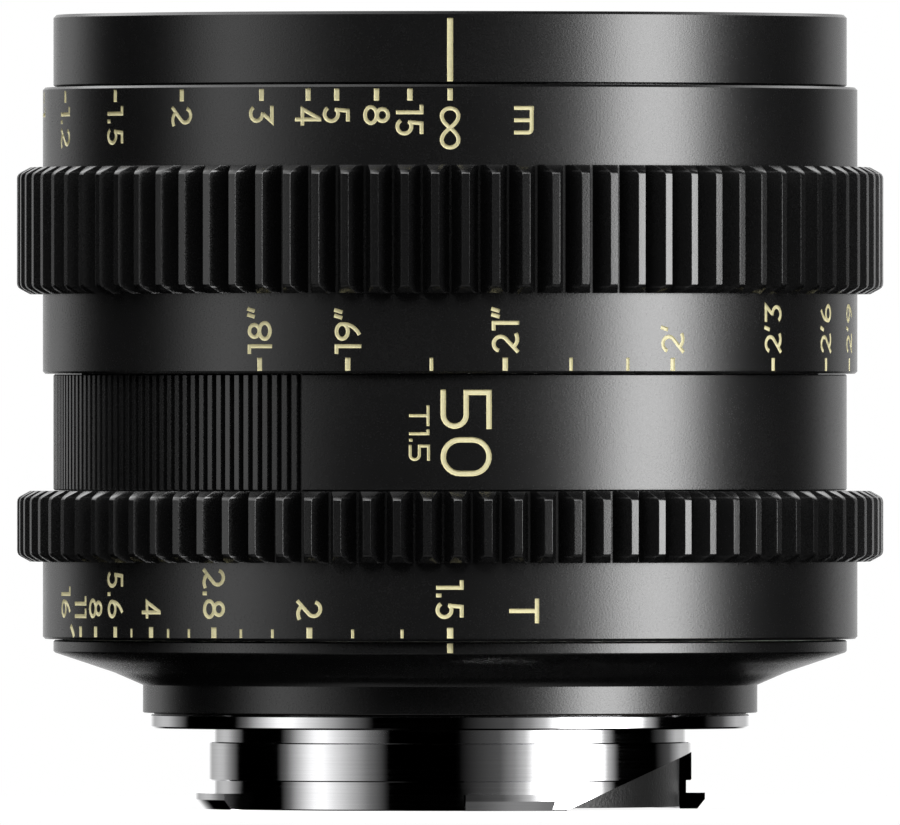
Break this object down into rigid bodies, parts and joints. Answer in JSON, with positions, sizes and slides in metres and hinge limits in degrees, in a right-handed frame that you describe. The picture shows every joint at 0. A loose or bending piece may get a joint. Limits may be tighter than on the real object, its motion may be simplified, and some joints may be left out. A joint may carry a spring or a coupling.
{
  "type": "cinema prime lens",
  "caption": "Cinema prime lens with geared focus and iris rings, a ribbed fixed sleeve, a rangefinder bayonet and a working iris behind coated glass.",
  "frame": {"origin": "centre of the flange seat, where the lens meets the camera", "axes": "+Z along the optical axis towards the front of the lens; -Y faces the metre scale's index, which is the picture's side"},
  "size_m": [0.0736, 0.0736, 0.0675],
  "materials": {
    "black_metal": "satin black anodised",
    "mount_chrome": "polished chrome",
    "screw_steel": "plain steel",
    "brass": "turned",
    "red_bead": "moulded",
    "glide_plastic": "plain",
    "inner_aluminium": "black anodised",
    "lens_glass": "coated",
    "blade_steel": "matte black"
  },
  "bodies": {
    "barrel": {"bayonet_mount": "mount_chrome", "mount_screws": "screw_steel", "flange_shim": "brass", "rear_baffle": "black_metal", "rear_housing": "black_metal", "index_bead": "red_bead", "guide_barrel": "inner_aluminium", "guide_grub_screws": "screw_steel", "middle_sleeve": "black_metal", "front_ring": "black_metal", "front_trim_ring": "black_metal", "focus_stop_pin": "screw_steel", "focus_glide_ring": "glide_plastic", "iris_glide_ring": "glide_plastic"},
    "focus": {"focus_ring": "black_metal", "cam_sleeve": "brass", "cam_screws": "screw_steel"},
    "iris": {"iris_ring": "black_metal", "iris_drive_pin": "screw_steel"},
    "optics": {"lens_barrel": "inner_aluminium", "cam_followers": "screw_steel", "front_cell": "black_metal", "front_bezel": "black_metal", "front_retaining_ring": "black_metal", "front_element": "lens_glass", "front_spacer": "black_metal", "second_element": "lens_glass", "third_element": "lens_glass", "iris_base_plate": "black_metal", "iris_cover_ring": "black_metal", "rear_cell": "black_metal", "fourth_element": "lens_glass", "fifth_element": "lens_glass", "rear_spacer": "black_metal", "sixth_element": "lens_glass", "rear_retaining_ring": "black_metal"},
    "actuator": {"iris_actuator": "brass", "iris_drive_arm": "screw_steel", "arm_screws": "screw_steel"},
    "blade_01": {"iris_blade_01": "blade_steel"},
    "blade_02": {"iris_blade_02": "blade_steel"},
    "blade_03": {"iris_blade_03": "blade_steel"},
    "blade_04": {"iris_blade_04": "blade_steel"},
    "blade_05": {"iris_blade_05": "blade_steel"},
    "blade_06": {"iris_blade_06": "blade_steel"},
    "blade_07": {"iris_blade_07": "blade_steel"},
    "blade_08": {"iris_blade_08": "blade_steel"},
    "blade_09": {"iris_blade_09": "blade_steel"},
    "blade_10": {"iris_blade_10": "blade_steel"},
    "blade_11": {"iris_blade_11": "blade_steel"},
    "blade_12": {"iris_blade_12": "blade_steel"}
  },
  "joints": [
    {"name": "focus_turn", "type": "hinge", "parent": "barrel", "child": "focus", "pos_m": [0, 0, 0.042], "axis": [0, 0, 1], "range_deg": [0, 210]},
    {"name": "unit_slide", "type": "slide", "parent": "barrel", "child": "optics", "axis": [0, 0, 1], "range_m": [0, 0.00731]},
    {"name": "iris_turn", "type": "hinge", "parent": "barrel", "child": "iris", "pos_m": [0, 0, 0.014], "axis": [0, 0, 1], "range_deg": [0, 67]},
    {"name": "actuator_turn", "type": "hinge", "parent": "optics", "child": "actuator", "pos_m": [0, 0, 0.02], "axis": [0, 0, 1], "range_deg": [0, 67.1]},
    {"name": "blade_01_swing", "type": "hinge", "parent": "optics", "child": "blade_01", "pos_m": [0.019, 0, 0.019], "axis": [0, 0, 1], "range_deg": [0, 36.22]},
    {"name": "blade_02_swing", "type": "hinge", "parent": "optics", "child": "blade_02", "pos_m": [0.01645, 0.0095, 0.019], "axis": [0, 0, 1], "range_deg": [0, 36.22]},
    {"name": "blade_03_swing", "type": "hinge", "parent": "optics", "child": "blade_03", "pos_m": [0.0095, 0.01645, 0.019], "axis": [0, 0, 1], "range_deg": [0, 36.22]},
    {"name": "blade_04_swing", "type": "hinge", "parent": "optics", "child": "blade_04", "pos_m": [0, 0.019, 0.019], "axis": [0, 0, 1], "range_deg": [0, 36.22]},
    {"name": "blade_05_swing", "type": "hinge", "parent": "optics", "child": "blade_05", "pos_m": [-0.0095, 0.01645, 0.019], "axis": [0, 0, 1], "range_deg": [0, 36.22]},
    {"name": "blade_06_swing", "type": "hinge", "parent": "optics", "child": "blade_06", "pos_m": [-0.01645, 0.0095, 0.019], "axis": [0, 0, 1], "range_deg": [0, 36.22]},
    {"name": "blade_07_swing", "type": "hinge", "parent": "optics", "child": "blade_07", "pos_m": [-0.019, 0, 0.019], "axis": [0, 0, 1], "range_deg": [0, 36.22]},
    {"name": "blade_08_swing", "type": "hinge", "parent": "optics", "child": "blade_08", "pos_m": [-0.01645, -0.0095, 0.019], "axis": [0, 0, 1], "range_deg": [0, 36.22]},
    {"name": "blade_09_swing", "type": "hinge", "parent": "optics", "child": "blade_09", "pos_m": [-0.0095, -0.01645, 0.019], "axis": [0, 0, 1], "range_deg": [0, 36.22]},
    {"name": "blade_10_swing", "type": "hinge", "parent": "optics", "child": "blade_10", "pos_m": [0, -0.019, 0.019], "axis": [0, 0, 1], "range_deg": [0, 36.22]},
    {"name": "blade_11_swing", "type": "hinge", "parent": "optics", "child": "blade_11", "pos_m": [0.0095, -0.01645, 0.019], "axis": [0, 0, 1], "range_deg": [0, 36.22]},
    {"name": "blade_12_swing", "type": "hinge", "parent": "optics", "child": "blade_12", "pos_m": [0.01645, -0.0095, 0.019], "axis": [0, 0, 1], "range_deg": [0, 36.22]}
  ],
  "couplings": [
    {"joint": "unit_slide", "follows": "focus_turn", "m_per_rad": 0.0019917},
    {"joint": "actuator_turn", "follows": "iris_turn", "ratio": 1},
    {"joint": "blade_01_swing", "follows": "iris_turn", "ratio": 0.53908},
    {"joint": "blade_02_swing", "follows": "iris_turn", "ratio": 0.53908},
    {"joint": "blade_03_swing", "follows": "iris_turn", "ratio": 0.53908},
    {"joint": "blade_04_swing", "follows": "iris_turn", "ratio": 0.53908},
    {"joint": "blade_05_swing", "follows": "iris_turn", "ratio": 0.53908},
    {"joint": "blade_06_swing", "follows": "iris_turn", "ratio": 0.53908},
    {"joint": "blade_07_swing", "follows": "iris_turn", "ratio": 0.53908},
    {"joint": "blade_08_swing", "follows": "iris_turn", "ratio": 0.53908},
    {"joint": "blade_09_swing", "follows": "iris_turn", "ratio": 0.53908},
    {"joint": "blade_10_swing", "follows": "iris_turn", "ratio": 0.53908},
    {"joint": "blade_11_swing", "follows": "iris_turn", "ratio": 0.53908},
    {"joint": "blade_12_swing", "follows": "iris_turn", "ratio": 0.53908}
  ]
}
